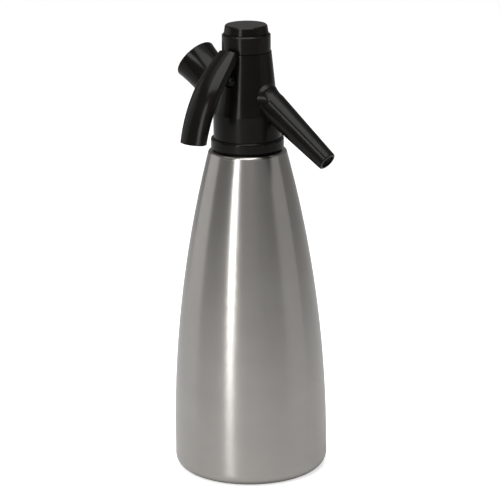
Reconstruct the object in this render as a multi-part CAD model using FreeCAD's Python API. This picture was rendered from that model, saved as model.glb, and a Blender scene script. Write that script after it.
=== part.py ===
import FreeCAD, Part
import math
import os

# Soda siphon, millimetres. The origin is the centre of the flat base, +Z is up,
# +X is the spout's side, -X the charging stub's side and -Y the lever's side.

# Fits
PRESS_GAP = 0.02
SLIDE_GAP = 0.05
SEAT_GAP = 0.04
FREE_GAP = 0.3
SEAM = 0.1

# Bottle
BOTTLE_RADIUS = 52.5
BOTTLE_WALL = 1.0
BASE_CORNER = 8.0
SIDE_STRAIGHT_TOP = 20.0
SIDE_ARC_RADIUS = 812.0
SHOULDER_HEIGHT = 224.6
SHOULDER_ROUND = 2.0
NECK_RADIUS = 17.0
NECK_WALL = 1.6
NECK_LENGTH = 18.4

# Head, outside
COLLAR_RADIUS = 24.7
COLLAR_LENGTH = 8.5
COLLAR_CHAMFER = 1.6
COLLAR_ROUND = 1.4
COLLAR_LIFT = 0.4
HEAD_RADIUS = 22.9
HEAD_STRAIGHT = 17.0
FLARE_LENGTH = 15.5
FLARE_TOP_RADIUS = 19.5
FLARE_HOLLOW = 0.5
CONE_TOP_RADIUS = 16.9
SPIGOT_RADIUS = 13.0

# Ring and cap on top of the head
RING_RADIUS = 16.4
RING_LENGTH = 12.0
RING_EDGE = 0.8
CAP_RADIUS = 15.0
CAP_TOP_RADIUS = 14.3
CAP_LENGTH = 6.0
CAP_BEVEL = 0.8
CAP_PLUG_RADIUS = 10.0
CAP_PLUG_WALL = 2.0
CAP_PLUG_LENGTH = 4.0

# Neck fittings
INSERT_WALL = 2.3
INSERT_LENGTH = 16.5
INSERT_LIFT = 1.0
MEASURE_RADIUS = 8.0
MEASURE_WALL = 2.0
MEASURE_LENGTH = 68.0
MEASURE_FLANGE = 1.2
HEAD_GASKET_THICK = 2.0
HEAD_GASKET_INNER = 12.0
HEAD_GASKET_OUTER = 16.8

# Riser tube
RISER_RADIUS = 3.5
RISER_WALL = 0.8
RISER_FOOT_GAP = 6.0
RISER_BELOW_VALVE = 13.98
RISER_SEAL_RADIUS = 6.0
RISER_SEAL_THICK = 3.0

# Spout
SPOUT_ANGLE = 34.2
SPOUT_BELOW_VALVE = 3.6
SPOUT_START = 12.0
SPOUT_SPIGOT_RADIUS = 6.0
SPOUT_SPIGOT_LENGTH = 8.0
SPOUT_ROOT_RADIUS = 9.9
SPOUT_ROOT_FLARE = 0.6
SPOUT_FLARE_START = 19.0
SPOUT_FLARE_END = 27.0
SPOUT_TIP_RADIUS = 6.65
SPOUT_TIP = 83.0
SPOUT_BORE = 2.5
SPOUT_RING_START = 14.5
SPOUT_RING_WIDTH = 2.0
SPOUT_RING_DEPTH = 1.2
NOZZLE_LENGTH = 11.0
NOZZLE_RADIUS = 4.7
NOZZLE_BORE = 2.0
NOZZLE_INSET = 1.0

# Valve, along Y
VALVE_RISE = 51.0
VALVE_RADIUS = 6.0
VALVE_WALL = 1.5
VALVE_FRONT = -12.0
VALVE_BACK = 9.9
SEAT_POSITION = 0.2
SEAT_THICK = 1.5
SEAT_HOLE = 2.3
CAGE_LENGTH = 6.2
CAGE_WALL = 1.0
STEM_RADIUS = 1.6
POPPET_RADIUS = 3.2
POPPET_THICK = 1.0
VALVE_SEAL_THICK = 0.95
SPRING_NUB_RADIUS = 1.2
SPRING_NUB_LENGTH = 0.6
GLAND_FACE = -17.6
GLAND_COLLAR = 1.4
GLAND_POCKET = 8.0
GLAND_FLANGE = 5.0
STEM_END = -21.0
STEM_ROUND = 0.8
STEM_RING_START = -10.5
STEM_RING_WIDTH = 1.8
STEM_RING_DEPTH = 1.1
INLET_RADIUS = 1.6
INLET_OFFSET = 3.6
OUTLET_RADIUS = 1.8
OUTLET_OFFSET = -2.2
RETURN_WIRE = 0.5
RETURN_COIL = 2.3

# Charging stub
STUB_ANGLE = 36.8
STUB_RISE = 22.3
STUB_START = 14.0
STUB_END = 50.0
STUB_RADIUS = 8.0
STUB_CHAMBER = 2.6
STUB_PORT = 1.2
STUB_SEAT_FACE = 26.0
STUB_SEAT_THICK = 1.4
FILTER_RADIUS = 4.0
FILTER_THICK = 2.2
NEEDLE_BASE_THICK = 2.0
NEEDLE_RADIUS = 0.9
NEEDLE_BORE = 0.35
NEEDLE_LENGTH = 7.5
CHARGER_SOCKET = 4.7
CHARGER_SEAL_THICK = 2.0
CHARGER_SEAL_HOLE = 2.2
STUB_RING_START = 20.0
STUB_RING_WIDTH = 2.2
STUB_RING_DEPTH = 1.3
BOSS_RADIUS = 12.8
BOSS_END = 33.1
BALL_RADIUS = 2.2
CHECK_WIRE = 0.3
CHECK_COIL = 1.6
GAS_PORT_OFFSET = 10.5

# Protective cap on the stub
SHELL_START = 33.5
SHELL_END = 57.4
SHELL_RADIUS = 13.9
SHELL_RIM_RADIUS = 15.2
SHELL_RIM_ROUND = 1.0
SHELL_HOLLOW = 0.55
SHELL_DISH = 1.2
LINER_WALL = 1.8
LINER_LENGTH = 17.5
CAP_GASKET_THICK = 1.8

# Lever
LEVER_TOP_INSET = 0.8
LEVER_TOP_RISE = 8.4
LEVER_SLOPE = 43.0
LEVER_STRAIGHT = 17.5
LEVER_BEND_RADIUS = 86.0
LEVER_DROP = 55.6
LEVER_HALF_TOP = 7.2
LEVER_HALF_WIDEST = 10.3
LEVER_HALF_BOTTOM = 9.7
LEVER_WIDEST = 34.0
LEVER_LENGTH = 72.0
LEVER_SIDE = 4.1
LEVER_CROWN_RADIUS = 17.8
LEVER_CORNER = 0.8
LEVER_ROOF = 1.2
LEVER_WALL = 1.6
LEVER_END_WALL = 2.0
LEVER_SECTIONS = 9
PIVOT_RADIUS_AT = 20.5
PIVOT_ABOVE_VALVE = 10.0
PIVOT_COVER = 6.0
PIN_RADIUS = 1.25
PIN_LENGTH = 10.0
EAR_RADIUS = 2.8
EAR_THICK = 2.0
EAR_ROOT = 3.0
WEB_HALF = 2.8
NUB_GAP = 0.3
NUB_HALF_HEIGHT = 2.6

# Derived places
COLLAR_BOTTOM = SHOULDER_HEIGHT + COLLAR_LIFT
COLLAR_TOP = COLLAR_BOTTOM + COLLAR_LENGTH
FLARE_BOTTOM = COLLAR_TOP + HEAD_STRAIGHT
FLARE_TOP = FLARE_BOTTOM + FLARE_LENGTH
VALVE_HEIGHT = COLLAR_BOTTOM + VALVE_RISE
PIVOT_HEIGHT = VALVE_HEIGHT + PIVOT_ABOVE_VALVE
CONE_TOP = PIVOT_HEIGHT + PIVOT_COVER
CONE_LENGTH = CONE_TOP - FLARE_TOP
RING_TOP = CONE_TOP + RING_LENGTH
NECK_TOP = SHOULDER_HEIGHT + NECK_LENGTH
NECK_BORE = NECK_RADIUS - NECK_WALL
FLANGE_TOP = NECK_TOP + SEAT_GAP + MEASURE_FLANGE
GASKET_TOP = FLANGE_TOP + SEAT_GAP + HEAD_GASKET_THICK
CEILING = GASKET_TOP + SEAT_GAP
CAVITY_RADIUS = NECK_RADIUS + SLIDE_GAP + INSERT_WALL + PRESS_GAP
RISER_TOP = VALVE_HEIGHT - RISER_BELOW_VALVE
SPOUT_CROSSING = VALVE_HEIGHT - SPOUT_BELOW_VALVE
STUB_CROSSING = COLLAR_BOTTOM + STUB_RISE
LEVER_TOP = (PIVOT_RADIUS_AT - LEVER_TOP_INSET, PIVOT_HEIGHT + LEVER_TOP_RISE)
LEVER_BOTTOM = LEVER_TOP[1] - LEVER_DROP

Z_AXIS = (FreeCAD.Vector(0, 0, 0), FreeCAD.Vector(0, 0, 1))


def tilted_axis(side, angle, crossing):
    """An axis in the XZ plane that leaves the head's centre line at a height."""
    turn = math.radians(angle)
    direction = FreeCAD.Vector(side * math.cos(turn), 0, math.sin(turn))
    return (FreeCAD.Vector(0, 0, crossing), direction)


SPOUT_AXIS = tilted_axis(1, -SPOUT_ANGLE, SPOUT_CROSSING)
STUB_AXIS = tilted_axis(-1, STUB_ANGLE, STUB_CROSSING)
VALVE_AXIS = (FreeCAD.Vector(0, 0, VALVE_HEIGHT), FreeCAD.Vector(0, 1, 0))


def across(axis):
    """A direction square to the axis, in which radii are measured."""
    if abs(axis[1].y) > 0.5:
        return FreeCAD.Vector(1, 0, 0)
    if abs(axis[1].z) > 0.99:
        return FreeCAD.Vector(1, 0, 0)
    return FreeCAD.Vector(0, 1, 0)


def at(axis, distance, radius=0.0):
    """The point at a distance along the axis and a radius from it."""
    return axis[0] + axis[1] * distance + across(axis) * radius


def turned(axis, profile):
    """A solid turned about the axis from (distance, radius) points.

    A point with three members bulges: the third is the sideways rise of the arc
    that arrives there, to the left of its direction in the profile.
    """
    edges = []
    count = len(profile)
    for index in range(count):
        here = profile[index]
        after = profile[(index + 1) % count]
        start = at(axis, here[0], here[1])
        end = at(axis, after[0], after[1])
        if len(after) == 2:
            edges.append(Part.LineSegment(start, end).toShape())
            continue
        step_along = after[0] - here[0]
        step_out = after[1] - here[1]
        length = math.hypot(step_along, step_out)
        middle_along = (here[0] + after[0]) / 2 - step_out / length * after[2]
        middle_out = (here[1] + after[1]) / 2 + step_along / length * after[2]
        middle = at(axis, middle_along, middle_out)
        edges.append(Part.Arc(start, middle, end).toShape())
    face = Part.Face(Part.Wire(edges))
    solid = face.revolve(axis[0], axis[1], 360)
    if solid.Volume < 0:
        solid.reverse()
    return solid


def rod(axis, start, end, radius):
    """A plain round bar along an axis."""
    return Part.makeCylinder(radius, end - start, at(axis, start), axis[1])


def tube(axis, start, end, inner, outer):
    """A plain round tube along an axis."""
    return rod(axis, start, end, outer).cut(rod(axis, start - 1, end + 1, inner))


# Bottle: one drawn shell, from the flat base up to the threaded neck

def side_radius(height):
    """The outer radius of the bottle's side, vertical below and one long arc above."""
    rise = max(height - SIDE_STRAIGHT_TOP, 0.0)
    sag = SIDE_ARC_RADIUS - math.sqrt(SIDE_ARC_RADIUS ** 2 - rise ** 2)
    return BOTTLE_RADIUS - sag


def arc_rise(radius, chord):
    """How far an arc of this radius stands out from the middle of its chord."""
    return radius - math.sqrt(radius ** 2 - (chord / 2) ** 2)


def vessel(inset, top):
    """The bottle's outer form, or with an inset the form of its inside."""
    corner = BASE_CORNER - inset
    shoulder = SHOULDER_HEIGHT - inset
    turn_height = shoulder - SHOULDER_ROUND
    edge_radius = side_radius(turn_height) - inset
    side_length = math.hypot(turn_height - SIDE_STRAIGHT_TOP, BOTTLE_RADIUS - inset - edge_radius)
    neck = NECK_RADIUS if inset == 0 else NECK_BORE
    corner_rise = corner * (1 - math.sqrt(0.5))
    round_rise = SHOULDER_ROUND * (1 - math.sqrt(0.5))
    return turned(Z_AXIS, [
        (inset, 0),
        (inset, BOTTLE_RADIUS - inset - corner),
        (BASE_CORNER, BOTTLE_RADIUS - inset, corner_rise),
        (SIDE_STRAIGHT_TOP, BOTTLE_RADIUS - inset),
        (turn_height, edge_radius, arc_rise(SIDE_ARC_RADIUS, side_length)),
        (shoulder, edge_radius - SHOULDER_ROUND, round_rise),
        (shoulder, neck),
        (top, neck),
        (top, 0),
    ])


def bottle():
    return vessel(0, NECK_TOP).cut(vessel(BOTTLE_WALL, NECK_TOP + 1))


# Pieces that sit in the neck

def measuring_tube():
    tube_top = NECK_TOP + SEAT_GAP
    inner = MEASURE_RADIUS - MEASURE_WALL
    hanging = tube(Z_AXIS, tube_top - MEASURE_LENGTH, tube_top, inner, MEASURE_RADIUS)
    flange = tube(Z_AXIS, tube_top, FLANGE_TOP, inner, HEAD_GASKET_OUTER)
    return hanging.fuse(flange).removeSplitter()


def head_gasket():
    return tube(Z_AXIS, FLANGE_TOP + SEAT_GAP, GASKET_TOP, HEAD_GASKET_INNER, HEAD_GASKET_OUTER)


def neck_insert():
    start = COLLAR_BOTTOM + INSERT_LIFT
    inner = NECK_RADIUS + SLIDE_GAP
    return tube(Z_AXIS, start, start + INSERT_LENGTH, inner, inner + INSERT_WALL)


# Head: the outer form, then its ears and boss, then everything cut out of it

def cone_radius(height):
    """The head's outer radius on the cone above the flare."""
    share = (height - FLARE_TOP) / CONE_LENGTH
    return FLARE_TOP_RADIUS + (CONE_TOP_RADIUS - FLARE_TOP_RADIUS) * share


def head_form(extra):
    """The head's turned outer form, made larger all round by extra."""
    round_rise = COLLAR_ROUND * (1 - math.sqrt(0.5))
    return turned(Z_AXIS, [
        (COLLAR_BOTTOM, 0),
        (COLLAR_BOTTOM, COLLAR_RADIUS - COLLAR_CHAMFER + extra),
        (COLLAR_BOTTOM + COLLAR_CHAMFER, COLLAR_RADIUS + extra),
        (COLLAR_TOP - COLLAR_ROUND, COLLAR_RADIUS + extra),
        (COLLAR_TOP, COLLAR_RADIUS - COLLAR_ROUND + extra, round_rise),
        (COLLAR_TOP, HEAD_RADIUS + extra),
        (FLARE_BOTTOM, HEAD_RADIUS + extra),
        (FLARE_TOP, FLARE_TOP_RADIUS + extra, -FLARE_HOLLOW),
        (CONE_TOP, CONE_TOP_RADIUS + extra),
        (CONE_TOP, 0),
    ])


def ears():
    """Two cheeks that carry the lever's pin on the head's -Y side."""
    shapes = []
    inner = WEB_HALF + FREE_GAP
    root = cone_radius(PIVOT_HEIGHT) - EAR_ROOT
    for start in (inner, -inner - EAR_THICK):
        centre = FreeCAD.Vector(start, -PIVOT_RADIUS_AT, PIVOT_HEIGHT)
        nose = Part.makeCylinder(EAR_RADIUS, EAR_THICK, centre, FreeCAD.Vector(1, 0, 0))
        corner = FreeCAD.Vector(start, -PIVOT_RADIUS_AT, PIVOT_HEIGHT - EAR_RADIUS)
        arm = Part.makeBox(EAR_THICK, PIVOT_RADIUS_AT - root, 2 * EAR_RADIUS, corner)
        shapes.append(nose.fuse(arm))
    return shapes


def pin_axis():
    return (FreeCAD.Vector(0, -PIVOT_RADIUS_AT, PIVOT_HEIGHT), FreeCAD.Vector(1, 0, 0))


def pin_bar(length, radius):
    axis = pin_axis()
    start = axis[0] - axis[1] * (length / 2)
    return Part.makeCylinder(radius, length, start, axis[1])


def spout_passage(radius, end):
    """The bore from the valve's outlet down the spout, set to one side at the valve."""
    straight = rod(SPOUT_AXIS, 0, end, radius)
    straight.translate(FreeCAD.Vector(0, OUTLET_OFFSET, 0))
    return straight


def head_housing():
    spigot = rod(Z_AXIS, CONE_TOP - 1, RING_TOP, SPIGOT_RADIUS)
    boss = rod(STUB_AXIS, STUB_START, BOSS_END, BOSS_RADIUS)
    body = head_form(0).multiFuse([spigot, boss] + ears())
    plug_floor = RING_TOP - CAP_PLUG_LENGTH - FREE_GAP
    cuts = [
        rod(Z_AXIS, COLLAR_BOTTOM - 1, CEILING, CAVITY_RADIUS),
        rod(Z_AXIS, CEILING - 1, RISER_TOP + SEAT_GAP, RISER_RADIUS + PRESS_GAP),
        rod(Z_AXIS, CEILING - 1, CEILING + RISER_SEAL_THICK + SEAT_GAP, RISER_SEAL_RADIUS + PRESS_GAP),
        rod(VALVE_AXIS, GLAND_FACE - GLAND_POCKET, VALVE_BACK + SEAT_GAP, VALVE_RADIUS + PRESS_GAP),
        rod(SPOUT_AXIS, SPOUT_START - SEAT_GAP, SPOUT_TIP, SPOUT_SPIGOT_RADIUS + PRESS_GAP),
        rod(STUB_AXIS, STUB_START - 1.5, BOSS_END + 1, STUB_RADIUS + PRESS_GAP),
        spout_passage(OUTLET_RADIUS, SPOUT_START + 1),
        riser_passage(),
        gas_passage(),
        rod(Z_AXIS, plug_floor, RING_TOP + 1, CAP_PLUG_RADIUS + PRESS_GAP),
        pin_bar(PIN_LENGTH + 8, PIN_RADIUS + PRESS_GAP),
    ]
    return body.cut(cuts[0].multiFuse(cuts[1:])).removeSplitter()


def riser_passage():
    """The drilling from the riser's top to the valve's inlet."""
    start = FreeCAD.Vector(0, INLET_OFFSET, RISER_TOP - 2)
    length = VALVE_HEIGHT - RISER_TOP
    return Part.makeCylinder(INLET_RADIUS, length, start, FreeCAD.Vector(0, 0, 1))


def gas_passage():
    """The drilling from the charging stub's inner end down into the bottle."""
    top = at(STUB_AXIS, STUB_START - 0.7).z
    start = FreeCAD.Vector(-GAS_PORT_OFFSET, 0, CEILING - 1)
    return Part.makeCylinder(STUB_PORT, top - CEILING + 1, start, FreeCAD.Vector(0, 0, 1))


def upper_ring():
    inner = SPIGOT_RADIUS + SLIDE_GAP
    return turned(Z_AXIS, [
        (CONE_TOP + SEAT_GAP, inner),
        (CONE_TOP + SEAT_GAP, RING_RADIUS - RING_EDGE / 2),
        (CONE_TOP + SEAT_GAP + RING_EDGE / 2, RING_RADIUS),
        (RING_TOP - RING_EDGE, RING_RADIUS),
        (RING_TOP, RING_RADIUS - RING_EDGE),
        (RING_TOP, inner),
    ])


def top_cap():
    bottom = RING_TOP + SEAT_GAP
    top = RING_TOP + CAP_LENGTH
    plug_bottom = RING_TOP - CAP_PLUG_LENGTH
    return turned(Z_AXIS, [
        (bottom, CAP_PLUG_RADIUS),
        (bottom, CAP_RADIUS - 0.4),
        (bottom + 0.4, CAP_RADIUS),
        (top - CAP_BEVEL, CAP_TOP_RADIUS),
        (top, CAP_TOP_RADIUS - CAP_BEVEL),
        (top, 0),
        (bottom, 0),
        (bottom, CAP_PLUG_RADIUS - CAP_PLUG_WALL),
        (plug_bottom, CAP_PLUG_RADIUS - CAP_PLUG_WALL),
        (plug_bottom, CAP_PLUG_RADIUS),
    ])


# Riser tube and its seal

def riser_tube():
    return tube(Z_AXIS, BOTTLE_WALL + RISER_FOOT_GAP, RISER_TOP, RISER_RADIUS - RISER_WALL, RISER_RADIUS)


def riser_seal():
    return tube(Z_AXIS, CEILING, CEILING + RISER_SEAL_THICK, RISER_RADIUS + PRESS_GAP, RISER_SEAL_RADIUS)


# Spout

def spout_radius(distance):
    share = (distance - SPOUT_FLARE_END) / (SPOUT_TIP - SPOUT_FLARE_END)
    return SPOUT_ROOT_RADIUS - 0.2 + (SPOUT_TIP_RADIUS - SPOUT_ROOT_RADIUS + 0.2) * share


def spout():
    spigot_end = SPOUT_START + SPOUT_SPIGOT_LENGTH
    ring_floor = SPOUT_SPIGOT_RADIUS - SPOUT_RING_DEPTH
    ring_end = SPOUT_RING_START + SPOUT_RING_WIDTH
    spigot = turned(SPOUT_AXIS, [
        (SPOUT_START, 0),
        (SPOUT_START, SPOUT_SPIGOT_RADIUS),
        (SPOUT_RING_START, SPOUT_SPIGOT_RADIUS),
        (SPOUT_RING_START, ring_floor),
        (ring_end, ring_floor),
        (ring_end, SPOUT_SPIGOT_RADIUS),
        (spigot_end + 8, SPOUT_SPIGOT_RADIUS),
        (spigot_end + 8, 0),
    ])
    arm = turned(SPOUT_AXIS, [
        (SPOUT_START, 0),
        (SPOUT_START, SPOUT_ROOT_RADIUS + SPOUT_ROOT_FLARE),
        (SPOUT_FLARE_START, SPOUT_ROOT_RADIUS + SPOUT_ROOT_FLARE),
        (SPOUT_FLARE_END, spout_radius(SPOUT_FLARE_END), -0.45),
        (SPOUT_TIP - 0.6, spout_radius(SPOUT_TIP - 0.6)),
        (SPOUT_TIP, spout_radius(SPOUT_TIP) - 0.6),
        (SPOUT_TIP, 0),
    ])
    bore = rod(SPOUT_AXIS, SPOUT_START - 1, SPOUT_TIP, SPOUT_BORE)
    nozzle_start = SPOUT_TIP - NOZZLE_INSET - NOZZLE_LENGTH - SEAT_GAP
    mouth = rod(SPOUT_AXIS, nozzle_start, SPOUT_TIP + 1, NOZZLE_RADIUS + PRESS_GAP)
    return arm.cut(head_form(SEAM)).fuse(spigot).cut(bore.fuse(mouth)).removeSplitter()


def spout_o_ring():
    inner = SPOUT_SPIGOT_RADIUS - SPOUT_RING_DEPTH + PRESS_GAP
    end = SPOUT_RING_START + SPOUT_RING_WIDTH - PRESS_GAP
    return tube(SPOUT_AXIS, SPOUT_RING_START + PRESS_GAP, end, inner, SPOUT_SPIGOT_RADIUS)


def spout_nozzle():
    end = SPOUT_TIP - NOZZLE_INSET
    start = end - NOZZLE_LENGTH
    return turned(SPOUT_AXIS, [
        (start, NOZZLE_BORE),
        (start, NOZZLE_RADIUS),
        (end, NOZZLE_RADIUS),
        (end, NOZZLE_RADIUS - 0.6),
        (end - 2.0, NOZZLE_BORE),
    ])


# Valve

def valve_body():
    cup = rod(VALVE_AXIS, VALVE_FRONT, VALVE_BACK, VALVE_RADIUS)
    inside = rod(VALVE_AXIS, VALVE_FRONT - 1, VALVE_BACK - VALVE_WALL, VALVE_RADIUS - VALVE_WALL)
    return cup.cut(inside.multiFuse([riser_passage(), spout_passage(OUTLET_RADIUS, SPOUT_START)]))


def valve_seat():
    outer = VALVE_RADIUS - VALVE_WALL - PRESS_GAP
    disc = tube(VALVE_AXIS, SEAT_POSITION, SEAT_POSITION + SEAT_THICK, SEAT_HOLE, outer)
    cage = tube(VALVE_AXIS, SEAT_POSITION - CAGE_LENGTH, SEAT_POSITION, outer - CAGE_WALL, outer)
    return disc.fuse(cage).cut(spout_passage(OUTLET_RADIUS, SPOUT_START)).removeSplitter()


def gland_nut():
    inner_end = SEAT_POSITION - CAGE_LENGTH - SEAT_GAP
    barrel = rod(VALVE_AXIS, VALVE_FRONT - SEAT_GAP, inner_end, VALVE_RADIUS - VALVE_WALL - PRESS_GAP)
    flange = rod(VALVE_AXIS, GLAND_FACE + GLAND_COLLAR, VALVE_FRONT - SEAT_GAP, VALVE_RADIUS)
    collar = rod(VALVE_AXIS, GLAND_FACE, GLAND_FACE + GLAND_COLLAR, GLAND_FLANGE)
    hole = rod(VALVE_AXIS, GLAND_FACE - 1, inner_end + 1, STEM_RADIUS + SLIDE_GAP)
    groove_end = STEM_RING_START + STEM_RING_WIDTH
    groove = rod(VALVE_AXIS, STEM_RING_START, groove_end, STEM_RADIUS + STEM_RING_DEPTH + PRESS_GAP)
    return barrel.multiFuse([flange, collar]).cut(hole.fuse(groove)).removeSplitter()


def plunger_o_ring():
    start = STEM_RING_START + PRESS_GAP
    end = STEM_RING_START + STEM_RING_WIDTH - PRESS_GAP
    return tube(VALVE_AXIS, start, end, STEM_RADIUS + PRESS_GAP, STEM_RADIUS + STEM_RING_DEPTH)


def poppet_face():
    """Where the plunger's head starts behind the rubber washer."""
    return SEAT_POSITION + SEAT_THICK + SEAT_GAP + VALVE_SEAL_THICK + SEAT_GAP


def valve_plunger():
    back = poppet_face() + POPPET_THICK
    round_rise = STEM_ROUND * (1 - math.sqrt(0.5))
    return turned(VALVE_AXIS, [
        (STEM_END, 0),
        (STEM_END, STEM_RADIUS - STEM_ROUND),
        (STEM_END + STEM_ROUND, STEM_RADIUS, round_rise),
        (poppet_face(), STEM_RADIUS),
        (poppet_face(), POPPET_RADIUS),
        (back, POPPET_RADIUS),
        (back, SPRING_NUB_RADIUS),
        (back + SPRING_NUB_LENGTH, SPRING_NUB_RADIUS),
        (back + SPRING_NUB_LENGTH, 0),
    ])


def valve_seal():
    start = SEAT_POSITION + SEAT_THICK + SEAT_GAP
    return tube(VALVE_AXIS, start, start + VALVE_SEAL_THICK, STEM_RADIUS + PRESS_GAP, POPPET_RADIUS)


def valve_return_spring():
    """The space that the wound spring fills, as one plain sleeve."""
    start = poppet_face() + POPPET_THICK + SEAT_GAP
    end = VALVE_BACK - VALVE_WALL - SEAT_GAP
    return tube(VALVE_AXIS, start, end, RETURN_COIL - RETURN_WIRE / 2, RETURN_COIL + RETURN_WIRE / 2)


# Charging stub and what it holds

def filter_start():
    return STUB_SEAT_FACE + STUB_SEAT_THICK


def needle_start():
    return filter_start() + SEAT_GAP + FILTER_THICK + SEAT_GAP


def socket_floor():
    return needle_start() + NEEDLE_BASE_THICK + SEAT_GAP


def charging_stub():
    chamber_start = STUB_START + 1.5
    cuts = [
        rod(STUB_AXIS, STUB_START - 1, STUB_SEAT_FACE + STUB_SEAT_THICK + 1, STUB_PORT),
        rod(STUB_AXIS, chamber_start, STUB_SEAT_FACE, STUB_CHAMBER),
        rod(STUB_AXIS, filter_start(), socket_floor() + 1, FILTER_RADIUS + PRESS_GAP),
        rod(STUB_AXIS, socket_floor(), STUB_END + 1, CHARGER_SOCKET),
    ]
    groove = tube(STUB_AXIS, STUB_RING_START, STUB_RING_START + STUB_RING_WIDTH,
                  STUB_RADIUS - STUB_RING_DEPTH, STUB_RADIUS + 1)
    outer = rod(STUB_AXIS, STUB_START, STUB_END, STUB_RADIUS)
    return outer.cut(cuts[0].multiFuse(cuts[1:] + [groove])).removeSplitter()


def stub_o_ring():
    end = STUB_RING_START + STUB_RING_WIDTH - PRESS_GAP
    inner = STUB_RADIUS - STUB_RING_DEPTH + PRESS_GAP
    return tube(STUB_AXIS, STUB_RING_START + PRESS_GAP, end, inner, STUB_RADIUS)


def gas_filter():
    start = filter_start() + SEAT_GAP
    return rod(STUB_AXIS, start, start + FILTER_THICK, FILTER_RADIUS)


def piercing_pin():
    start = needle_start()
    disc_end = start + NEEDLE_BASE_THICK
    return turned(STUB_AXIS, [
        (start, NEEDLE_BORE),
        (start, FILTER_RADIUS),
        (disc_end, FILTER_RADIUS),
        (disc_end, NEEDLE_RADIUS),
        (disc_end + NEEDLE_LENGTH - 1.5, NEEDLE_RADIUS),
        (disc_end + NEEDLE_LENGTH, NEEDLE_BORE + 0.1),
        (disc_end + NEEDLE_LENGTH, NEEDLE_BORE),
    ])


def charger_gasket():
    start = socket_floor() + SEAT_GAP
    outer = CHARGER_SOCKET - PRESS_GAP
    return tube(STUB_AXIS, start, start + CHARGER_SEAL_THICK, CHARGER_SEAL_HOLE, outer)


def ball_centre():
    """The ball rests on the edge of the port in the stub's web."""
    reach = math.sqrt((BALL_RADIUS + SEAT_GAP) ** 2 - STUB_PORT ** 2)
    return STUB_SEAT_FACE - reach


def check_ball():
    return Part.makeSphere(BALL_RADIUS, at(STUB_AXIS, ball_centre()))


def check_spring():
    """The space that the small wound spring fills, as one plain sleeve."""
    contact = math.sqrt((BALL_RADIUS + SEAT_GAP) ** 2 - (CHECK_COIL - CHECK_WIRE / 2) ** 2)
    start = STUB_START + 1.5 + SEAT_GAP
    end = ball_centre() - contact
    return tube(STUB_AXIS, start, end, CHECK_COIL - CHECK_WIRE / 2, CHECK_COIL + CHECK_WIRE / 2)


# Protective cap

def cap_floor():
    """Where the inside of the protective cap ends."""
    return STUB_END + SEAT_GAP + CAP_GASKET_THICK + SEAT_GAP


def liner_radius():
    return STUB_RADIUS + SLIDE_GAP + LINER_WALL


def cap_gasket():
    start = STUB_END + SEAT_GAP
    return rod(STUB_AXIS, start, start + CAP_GASKET_THICK, liner_radius() - PRESS_GAP)


def cap_liner():
    start = STUB_END - LINER_LENGTH + 1.5
    return tube(STUB_AXIS, start, STUB_END, STUB_RADIUS + SLIDE_GAP, liner_radius())


def stub_cap():
    rim_rise = SHELL_RIM_ROUND * (1 - math.sqrt(0.5))
    bore = liner_radius() + PRESS_GAP
    return turned(STUB_AXIS, [
        (SHELL_START, bore),
        (SHELL_START, SHELL_RADIUS - 0.5),
        (SHELL_START + 0.5, SHELL_RADIUS),
        (SHELL_END - SHELL_RIM_ROUND, SHELL_RIM_RADIUS, -SHELL_HOLLOW),
        (SHELL_END, SHELL_RIM_RADIUS - SHELL_RIM_ROUND, rim_rise),
        (SHELL_END, SHELL_RIM_RADIUS - 2.4),
        (SHELL_END - SHELL_DISH, SHELL_RIM_RADIUS - 2.4 - 2 * SHELL_DISH),
        (SHELL_END - SHELL_DISH, 0),
        (cap_floor(), 0),
        (cap_floor(), bore),
    ])


# Lever: a blade that leans out, crowned outside and hollow underneath

def lever_path(distance):
    """Radius from the head's centre line, height and slope on the outer edge line."""
    slope = math.radians(LEVER_SLOPE)
    straight = min(distance, LEVER_STRAIGHT)
    radius = LEVER_TOP[0] + straight * math.cos(slope)
    height = LEVER_TOP[1] - straight * math.sin(slope)
    turn = max(distance - LEVER_STRAIGHT, 0.0) / LEVER_BEND_RADIUS
    radius += LEVER_BEND_RADIUS * (math.sin(slope + turn) - math.sin(slope))
    height += LEVER_BEND_RADIUS * (math.cos(slope + turn) - math.cos(slope))
    return radius, height, slope + turn


def lever_half_width(distance):
    if distance < LEVER_WIDEST:
        share = 1 - distance / LEVER_WIDEST
        return LEVER_HALF_WIDEST - (LEVER_HALF_WIDEST - LEVER_HALF_TOP) * share ** 2
    share = (distance - LEVER_WIDEST) / (LEVER_LENGTH - LEVER_WIDEST)
    return LEVER_HALF_WIDEST - (LEVER_HALF_WIDEST - LEVER_HALF_BOTTOM) * share ** 2


def lever_place(distance, sideways, depth):
    """A point of the lever: along its length, across it, and in from its edge line."""
    radius, height, slope = lever_path(distance)
    inward = radius - depth * math.sin(slope)
    return FreeCAD.Vector(sideways, -inward, height - depth * math.cos(slope))


def blade_section(distance):
    half = lever_half_width(distance)
    corner = LEVER_CORNER
    crown = arc_rise(LEVER_CROWN_RADIUS, 2 * half)
    slant = corner * 0.3
    places = [
        (-half, LEVER_SIDE),
        (-half, corner),
        (-half + slant, slant),
        (-half + corner, -corner * 0.45),
        (0, -crown),
        (half - corner, -corner * 0.45),
        (half - slant, slant),
        (half, corner),
        (half, LEVER_SIDE),
    ]
    points = [lever_place(distance, sideways, depth) for sideways, depth in places]
    return Part.Wire([
        Part.LineSegment(points[0], points[1]).toShape(),
        Part.Arc(points[1], points[2], points[3]).toShape(),
        Part.Arc(points[3], points[4], points[5]).toShape(),
        Part.Arc(points[5], points[6], points[7]).toShape(),
        Part.LineSegment(points[7], points[8]).toShape(),
        Part.LineSegment(points[8], points[0]).toShape(),
    ])


def pocket_section(distance):
    half = lever_half_width(distance) - LEVER_WALL
    corners = [(-half, LEVER_SIDE + 2), (-half, LEVER_ROOF), (half, LEVER_ROOF), (half, LEVER_SIDE + 2)]
    points = [lever_place(distance, sideways, depth) for sideways, depth in corners]
    return Part.makePolygon(points + [points[0]])


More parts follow.
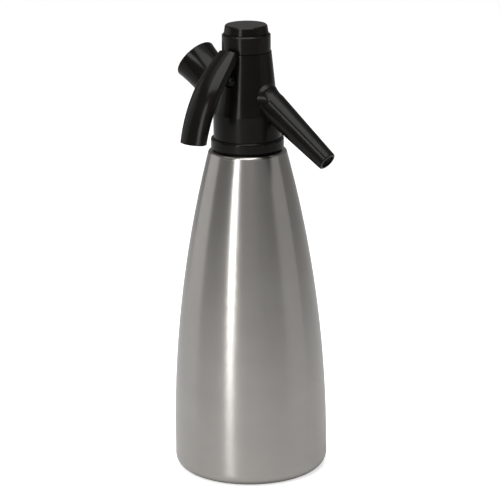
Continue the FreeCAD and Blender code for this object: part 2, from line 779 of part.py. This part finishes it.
def lofted(section, start, end):
    step = (end - start) / (LEVER_SECTIONS - 1)
    wires = [section(start + step * index) for index in range(LEVER_SECTIONS)]
    solid = Part.makeLoft(wires, True, False)
    if solid.Volume < 0:
        solid.reverse()
    return solid


def bottom_distance():
    """How far along the lever its straight bottom edge lies."""
    slope = math.radians(LEVER_SLOPE)
    drop = LEVER_TOP[1] - LEVER_STRAIGHT * math.sin(slope) - LEVER_BOTTOM
    turn = math.acos(math.cos(slope) - drop / LEVER_BEND_RADIUS) - slope
    return LEVER_STRAIGHT + LEVER_BEND_RADIUS * turn


def lever_web():
    """The rib under the blade, with the pin's eye and the nub that presses the plunger."""
    nub_face = -(STEM_END - NUB_GAP)
    profile = [
        (cone_radius(PIVOT_HEIGHT) + 0.6, PIVOT_HEIGHT - 1.0),
        (cone_radius(PIVOT_HEIGHT) + 0.6, PIVOT_HEIGHT + 1.0),
    ]
    roof = [lever_place(distance, 0, LEVER_ROOF - 0.3) for distance in (1.5, 17.0)]
    profile += [(-point.y, point.z) for point in roof]
    under = lever_place(19.0, 0, LEVER_SIDE + 0.8)
    profile += [
        (-under.y, under.z),
        (nub_face + 3.5, VALVE_HEIGHT - NUB_HALF_HEIGHT),
        (nub_face, VALVE_HEIGHT - NUB_HALF_HEIGHT),
        (nub_face, VALVE_HEIGHT + NUB_HALF_HEIGHT),
    ]
    points = [FreeCAD.Vector(-WEB_HALF, -radius, height) for radius, height in profile]
    face = Part.Face(Part.makePolygon(points + [points[0]]))
    plate = face.extrude(FreeCAD.Vector(2 * WEB_HALF, 0, 0))
    return plate.fuse(pin_bar(2 * WEB_HALF, EAR_RADIUS))


def lever():
    blade = lofted(blade_section, 0, LEVER_LENGTH)
    pocket = lofted(pocket_section, LEVER_END_WALL, bottom_distance() - LEVER_END_WALL)
    below = rod(Z_AXIS, LEVER_BOTTOM - LEVER_LENGTH, LEVER_BOTTOM, LEVER_LENGTH + PIVOT_RADIUS_AT)
    clearance = head_form(FREE_GAP)
    ring_space = rod(Z_AXIS, CONE_TOP, RING_TOP, RING_RADIUS + FREE_GAP)
    hollow = blade.cut(pocket.fuse(below))
    whole = hollow.fuse(lever_web()).cut(clearance.fuse(ring_space))
    return whole.cut(pin_bar(PIN_LENGTH + 10, PIN_RADIUS + SLIDE_GAP)).removeSplitter()


def lever_pin():
    return pin_bar(PIN_LENGTH, PIN_RADIUS)


PIECES = [
    bottle, measuring_tube, head_gasket, neck_insert, head_housing, upper_ring, top_cap,
    riser_tube, riser_seal, spout, spout_o_ring, spout_nozzle,
    valve_body, valve_seat, gland_nut, plunger_o_ring, valve_plunger, valve_seal, valve_return_spring,
    charging_stub, stub_o_ring, gas_filter, piercing_pin, charger_gasket, check_ball, check_spring,
    cap_gasket, cap_liner, stub_cap, lever, lever_pin,
]

os.makedirs("parts", exist_ok=True)
for piece in PIECES:
    shape = piece()
    if shape.ShapeType == "Compound" and len(shape.Solids) == 1:
        shape = shape.Solids[0]
    print(piece.__name__, shape.ShapeType, len(shape.Solids), shape.isValid(), round(shape.Volume, 1))
    shape.exportStep("parts/" + piece.__name__ + ".step")
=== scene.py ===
import math
import bpy
from mathutils import Euler, Matrix, Vector

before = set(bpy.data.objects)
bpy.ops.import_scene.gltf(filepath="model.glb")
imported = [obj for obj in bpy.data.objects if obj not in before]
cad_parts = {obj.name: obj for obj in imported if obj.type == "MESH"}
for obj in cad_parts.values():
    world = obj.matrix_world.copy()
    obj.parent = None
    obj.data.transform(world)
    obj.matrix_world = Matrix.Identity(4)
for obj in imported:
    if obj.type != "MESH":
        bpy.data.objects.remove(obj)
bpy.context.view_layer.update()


# Camera: a long lens that looks down a little between spout and lever, from
# where the photograph was taken. Distances are in metres.
VIEW_AZIMUTH = math.radians(40)
VIEW_DISTANCE = 1.600
VIEW_HEIGHT = 0.612
VIEW_PITCH = math.radians(15.99)
VIEW_ROLL = math.radians(0.69)
VIEW_LENS = 175.2
VIEW_SENSOR = 36.0
VIEW_SHIFT = 0.0025
VIEW_FAR = 20.0

lens = bpy.data.cameras.new("view_camera")
lens.lens = VIEW_LENS
lens.sensor_width = VIEW_SENSOR
lens.shift_x = VIEW_SHIFT
lens.clip_end = VIEW_FAR
camera = bpy.data.objects.new("view_camera", lens)
bpy.context.scene.collection.objects.link(camera)
camera.location = (
    VIEW_DISTANCE * math.sin(VIEW_AZIMUTH),
    -VIEW_DISTANCE * math.cos(VIEW_AZIMUTH),
    VIEW_HEIGHT,
)
level_turn = Euler((math.pi / 2 - VIEW_PITCH, 0, VIEW_AZIMUTH)).to_matrix()
rolled_turn = level_turn @ Matrix.Rotation(-VIEW_ROLL, 3, "Z")
camera.rotation_euler = rolled_turn.to_euler()
bpy.context.scene.camera = camera


# Floor: a plain white sheet that the siphon stands on. Its glow is for the camera
# alone, so that it meets the white world without an edge and takes a soft shadow.
FLOOR_HALF = 3.0
FLOOR_WHITE = (0.90, 0.90, 0.90, 1.0)
FLOOR_ROUGHNESS = 0.9
FLOOR_GLOW = 0.62

bpy.ops.object.select_all(action="DESELECT")
bpy.ops.mesh.primitive_plane_add(size=2 * FLOOR_HALF, location=(0, 0, 0))
floor = bpy.context.active_object
floor.name = "floor"
floor_material = bpy.data.materials.new("floor_white")
floor_material.use_nodes = True
floor_nodes = floor_material.node_tree.nodes
floor_links = floor_material.node_tree.links
floor_shader = floor_nodes["Principled BSDF"]
floor_shader.inputs["Base Color"].default_value = FLOOR_WHITE
floor_shader.inputs["Roughness"].default_value = FLOOR_ROUGHNESS
floor_path = floor_nodes.new("ShaderNodeLightPath")
floor_glow = floor_nodes.new("ShaderNodeEmission")
floor_glow.inputs["Strength"].default_value = FLOOR_GLOW
floor_sum = floor_nodes.new("ShaderNodeAddShader")
floor_mix = floor_nodes.new("ShaderNodeMixShader")
floor_links.new(floor_shader.outputs["BSDF"], floor_sum.inputs[0])
floor_links.new(floor_glow.outputs["Emission"], floor_sum.inputs[1])
floor_links.new(floor_path.outputs["Is Camera Ray"], floor_mix.inputs["Fac"])
floor_links.new(floor_shader.outputs["BSDF"], floor_mix.inputs[1])
floor_links.new(floor_sum.outputs["Shader"], floor_mix.inputs[2])
floor_links.new(floor_mix.outputs["Shader"], floor_nodes["Material Output"].inputs["Surface"])
floor.data.materials.append(floor_material)


# World: plain white for the camera and for what is seen through or in a surface,
# and a dim grey fill for the light that surfaces receive.
WORLD_FILL = (0.30, 0.30, 0.31, 1.0)
WORLD_WHITE = (1.0, 1.0, 1.0, 1.0)

world = bpy.data.worlds.new("studio")
bpy.context.scene.world = world
world.use_nodes = True
world_nodes = world.node_tree.nodes
world_links = world.node_tree.links
world_nodes.clear()
world_output = world_nodes.new("ShaderNodeOutputWorld")
world_mix = world_nodes.new("ShaderNodeMixShader")
world_fill = world_nodes.new("ShaderNodeBackground")
world_fill.inputs["Color"].default_value = WORLD_FILL
world_seen = world_nodes.new("ShaderNodeBackground")
world_seen.inputs["Color"].default_value = WORLD_WHITE
world_path = world_nodes.new("ShaderNodeLightPath")
seen_or_mirrored = world_nodes.new("ShaderNodeMath")
seen_or_mirrored.operation = "MAXIMUM"
or_through_glass = world_nodes.new("ShaderNodeMath")
or_through_glass.operation = "MAXIMUM"
world_links.new(world_path.outputs["Is Camera Ray"], seen_or_mirrored.inputs[0])
world_links.new(world_path.outputs["Is Glossy Ray"], seen_or_mirrored.inputs[1])
world_links.new(seen_or_mirrored.outputs["Value"], or_through_glass.inputs[0])
world_links.new(world_path.outputs["Is Transmission Ray"], or_through_glass.inputs[1])
world_links.new(or_through_glass.outputs["Value"], world_mix.inputs["Fac"])
world_links.new(world_fill.outputs["Background"], world_mix.inputs[1])
world_links.new(world_seen.outputs["Background"], world_mix.inputs[2])
world_links.new(world_mix.outputs["Shader"], world_output.inputs["Surface"])


# Dark surround: a round grey screen that the black head reflects, which keeps it
# dark. The camera doesn't see the screen, so the white behind the siphon shows.
SURROUND_RADIUS = 2.3
SURROUND_HEIGHT = 3.2
SURROUND_FACES = 72
SURROUND_GREY = (0.10, 0.10, 0.10, 1.0)
SURROUND_ROUGHNESS = 0.95
SURROUND_TINT = (1.0, 0.98, 0.95, 1.0)
SURROUND_GLOW = 0.145

bpy.ops.object.select_all(action="DESELECT")
bpy.ops.mesh.primitive_cylinder_add(
    vertices=SURROUND_FACES, radius=SURROUND_RADIUS, depth=SURROUND_HEIGHT,
    end_fill_type="NOTHING", location=(0, 0, SURROUND_HEIGHT / 2))
surround = bpy.context.active_object
surround.name = "dark_surround"
surround_material = bpy.data.materials.new("flag_grey")
surround_material.use_nodes = True
surround_shader = surround_material.node_tree.nodes["Principled BSDF"]
surround_shader.inputs["Base Color"].default_value = SURROUND_GREY
surround_shader.inputs["Roughness"].default_value = SURROUND_ROUGHNESS
surround_shader.inputs["Emission Color"].default_value = SURROUND_TINT
surround_shader.inputs["Emission Strength"].default_value = SURROUND_GLOW
surround.data.materials.append(surround_material)
surround.visible_camera = False


# Lamps: an upright strip draws the bright band down the bottle, a large one
# overhead lights the tops, and one on each side lifts the bottle's edges.
# Each has its azimuth in degrees, distance, height, size, watts and aiming height.
LAMPS = {
    "strip_left": (9, 1.3, 0.62, (0.25, 1.3), 8.5, 0.3),
    "overhead": (20, 0.35, 1.75, (1.3, 1.3), 24.0, 0.2),
    "side_right": (118, 1.5, 0.5, (1.0, 1.2), 1.2, 0.15),
    "side_left": (-70, 1.5, 0.5, (1.2, 1.2), 3.2, 0.15),
}

for lamp_name, (azimuth, distance, height, size, watts, aim_height) in LAMPS.items():
    light = bpy.data.lights.new(lamp_name, "AREA")
    light.shape = "RECTANGLE"
    light.size, light.size_y = size
    light.energy = watts
    lamp = bpy.data.objects.new(lamp_name, light)
    bpy.context.scene.collection.objects.link(lamp)
    turn = math.radians(azimuth)
    lamp.location = (distance * math.sin(turn), -distance * math.cos(turn), height)
    aim = Vector((0, 0, aim_height)) - Vector(lamp.location)
    lamp.rotation_euler = aim.to_track_quat("-Z", "Y").to_euler()


# Bottle: stainless steel brushed round its axis with a very fine belt. The grain
# runs in level rings, which stretches each highlight into an upright band.
STEEL_DARK = (0.33, 0.318, 0.300, 1.0)
STEEL_LIGHT = (0.39, 0.377, 0.357, 1.0)
STEEL_ROUGHNESS = (0.28, 0.32)
STEEL_STRETCH = 0.85
STEEL_STRETCH_TURN = 0.25
STEEL_GRAIN = (6.0, 6.0, 900.0)
STEEL_GRAIN_SCALE = 4.0
STEEL_GRAIN_RELIEF = (0.02, 0.0002)
STEEL_CLOUD = (9.0, 9.0, 14.0)
STEEL_CLOUD_SCALE = 3.0
STEEL_DETAIL = 3.0
NOISE_LOW = 0.3
NOISE_HIGH = 0.7


def fresh_material(name):
    """A material with only its shader and output, and the nodes to build on."""
    material = bpy.data.materials.new(name)
    material.use_nodes = True
    return material, material.node_tree.nodes, material.node_tree.links


def object_pattern(nodes, links, stretch):
    """Object coordinates stretched along each axis, for noise and grain."""
    coordinates = nodes.new("ShaderNodeTexCoord")
    mapping = nodes.new("ShaderNodeMapping")
    mapping.inputs["Scale"].default_value = stretch
    links.new(coordinates.outputs["Object"], mapping.inputs["Vector"])
    return mapping.outputs["Vector"]


def noise(nodes, links, vector, scale, detail):
    """A cloudy pattern between nought and one."""
    texture = nodes.new("ShaderNodeTexNoise")
    texture.inputs["Scale"].default_value = scale
    texture.inputs["Detail"].default_value = detail
    links.new(vector, texture.inputs["Vector"])
    return texture.outputs["Fac"]


def mapped(nodes, links, value, low, high):
    """A noise's usual range spread from low to high."""
    spread = nodes.new("ShaderNodeMapRange")
    spread.inputs["From Min"].default_value = NOISE_LOW
    spread.inputs["From Max"].default_value = NOISE_HIGH
    spread.inputs["To Min"].default_value = low
    spread.inputs["To Max"].default_value = high
    links.new(value, spread.inputs["Value"])
    return spread.outputs["Result"]


def mixed_colour(nodes, links, value, dark, light):
    """A colour between two, as the pattern says."""
    blend = nodes.new("ShaderNodeMix")
    blend.data_type = "RGBA"
    blend.inputs["A"].default_value = dark
    blend.inputs["B"].default_value = light
    links.new(value, blend.inputs["Factor"])
    return blend.outputs["Result"]


def bumped(nodes, links, height, strength, distance):
    """A normal that follows the pattern as a fine relief."""
    bump = nodes.new("ShaderNodeBump")
    bump.inputs["Strength"].default_value = strength
    bump.inputs["Distance"].default_value = distance
    links.new(height, bump.inputs["Height"])
    return bump.outputs["Normal"]


def dress(material, *node_names):
    """Give the finish to every material slot of these CAD nodes."""
    for node_name in node_names:
        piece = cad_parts[node_name]
        for slot in piece.material_slots:
            slot.material = material
        if not piece.material_slots:
            piece.data.materials.append(material)


bottle_steel, nodes, links = fresh_material("bottle_brushed_steel")
shader = nodes["Principled BSDF"]
grain_place = object_pattern(nodes, links, STEEL_GRAIN)
grain = noise(nodes, links, grain_place, STEEL_GRAIN_SCALE, STEEL_DETAIL)
cloud_place = object_pattern(nodes, links, STEEL_CLOUD)
cloud = noise(nodes, links, cloud_place, STEEL_CLOUD_SCALE, STEEL_DETAIL)
links.new(mixed_colour(nodes, links, cloud, STEEL_DARK, STEEL_LIGHT), shader.inputs["Base Color"])
links.new(mapped(nodes, links, grain, *STEEL_ROUGHNESS), shader.inputs["Roughness"])
links.new(bumped(nodes, links, grain, *STEEL_GRAIN_RELIEF), shader.inputs["Normal"])
shader.inputs["Metallic"].default_value = 1.0
shader.inputs["Anisotropic"].default_value = STEEL_STRETCH
shader.inputs["Anisotropic Rotation"].default_value = STEEL_STRETCH_TURN
round_axis = nodes.new("ShaderNodeTangent")
round_axis.direction_type = "RADIAL"
round_axis.axis = "Z"
links.new(round_axis.outputs["Tangent"], shader.inputs["Tangent"])
dress(bottle_steel, "bottle")


# Head, ring, caps, spout, lever and gland nut: nearly black moulded plastic with
# a soft sheen, a faint orange-peel skin and slightly rubbed, warmer spots.
EVEN = (1.0, 1.0, 1.0)
BLACK_DEEP = (0.0042, 0.0037, 0.0033, 1.0)
BLACK_WORN = (0.0075, 0.0067, 0.0060, 1.0)
BLACK_ROUGHNESS = (0.15, 0.21)
BLACK_SHEEN = 0.11
BLACK_SKIN = (900.0, 2.0)
BLACK_SKIN_RELIEF = (0.05, 0.0001)
BLACK_RUBBED = (60.0, 4.0)

black_moulding, nodes, links = fresh_material("black_moulding")
shader = nodes["Principled BSDF"]
skin_place = object_pattern(nodes, links, EVEN)
skin = noise(nodes, links, skin_place, *BLACK_SKIN)
rubbed = noise(nodes, links, skin_place, *BLACK_RUBBED)
links.new(mixed_colour(nodes, links, rubbed, BLACK_DEEP, BLACK_WORN), shader.inputs["Base Color"])
links.new(mapped(nodes, links, rubbed, *BLACK_ROUGHNESS), shader.inputs["Roughness"])
links.new(bumped(nodes, links, skin, *BLACK_SKIN_RELIEF), shader.inputs["Normal"])
shader.inputs["Specular IOR Level"].default_value = BLACK_SHEEN
dress(black_moulding, "head_housing", "upper_ring", "top_cap", "spout", "spout_nozzle",
      "lever", "stub_cap", "gland_nut")


# Turned steel pieces: pins, tubes, springs, ball and stub, with fine lathe marks
# and a satin surface. The plunger's end shows under the lever.
TURNED_DARK = (0.42, 0.42, 0.42, 1.0)
TURNED_LIGHT = (0.62, 0.62, 0.61, 1.0)
TURNED_ROUGHNESS = (0.25, 0.4)
TURNED_MARKS = (700.0, 4.0)


def plain_finish(name, dark, light, roughness, scale, detail, metallic):
    """A finish whose colour and roughness follow one even noise."""
    material, nodes, links = fresh_material(name)
    shader = nodes["Principled BSDF"]
    pattern = noise(nodes, links, object_pattern(nodes, links, EVEN), scale, detail)
    links.new(mixed_colour(nodes, links, pattern, dark, light), shader.inputs["Base Color"])
    links.new(mapped(nodes, links, pattern, *roughness), shader.inputs["Roughness"])
    shader.inputs["Metallic"].default_value = metallic
    return material


dress(plain_finish("turned_steel", TURNED_DARK, TURNED_LIGHT, TURNED_ROUGHNESS, *TURNED_MARKS, 1.0),
      "riser_tube", "lever_pin", "valve_plunger", "valve_return_spring", "charging_stub",
      "gas_filter", "piercing_pin", "check_ball", "check_spring", "cap_liner")


# Brass pieces inside the head: the neck's thread ring and the valve's cup and
# seat, dulled a little by carbonated water.
BRASS_DULL = (0.42, 0.30, 0.12, 1.0)
BRASS_CLEAN = (0.62, 0.47, 0.20, 1.0)
BRASS_ROUGHNESS = (0.28, 0.5)
BRASS_STAIN = (250.0, 5.0)

dress(plain_finish("valve_brass", BRASS_DULL, BRASS_CLEAN, BRASS_ROUGHNESS, *BRASS_STAIN, 1.0),
      "neck_insert", "valve_body", "valve_seat")


# Seals: moulded black rubber rings and washers, pressed into their grooves and
# seats. They are matt, with a fine grey bloom.
RUBBER_DARK = (0.012, 0.012, 0.012, 1.0)
RUBBER_BLOOM = (0.030, 0.030, 0.030, 1.0)
RUBBER_ROUGHNESS = (0.6, 0.8)
RUBBER_PATTERN = (400.0, 5.0)

dress(plain_finish("seal_rubber", RUBBER_DARK, RUBBER_BLOOM, RUBBER_ROUGHNESS, *RUBBER_PATTERN, 0.0),
      "head_gasket", "riser_seal", "spout_o_ring", "plunger_o_ring", "valve_seal", "stub_o_ring",
      "charger_gasket", "cap_gasket")


# Measuring tube: a flanged tube of white food-grade plastic that hangs in the
# bottle's neck and sets how high the water may stand.
PLASTIC_SHADE = (0.70, 0.70, 0.68, 1.0)
PLASTIC_WHITE = (0.82, 0.82, 0.80, 1.0)
PLASTIC_ROUGHNESS = (0.35, 0.5)
PLASTIC_CLOUD = (120.0, 3.0)

dress(plain_finish("measuring_plastic", PLASTIC_SHADE, PLASTIC_WHITE, PLASTIC_ROUGHNESS, *PLASTIC_CLOUD, 0.0),
      "measuring_tube")


bpy.context.scene.view_settings.view_transform = "Standard"
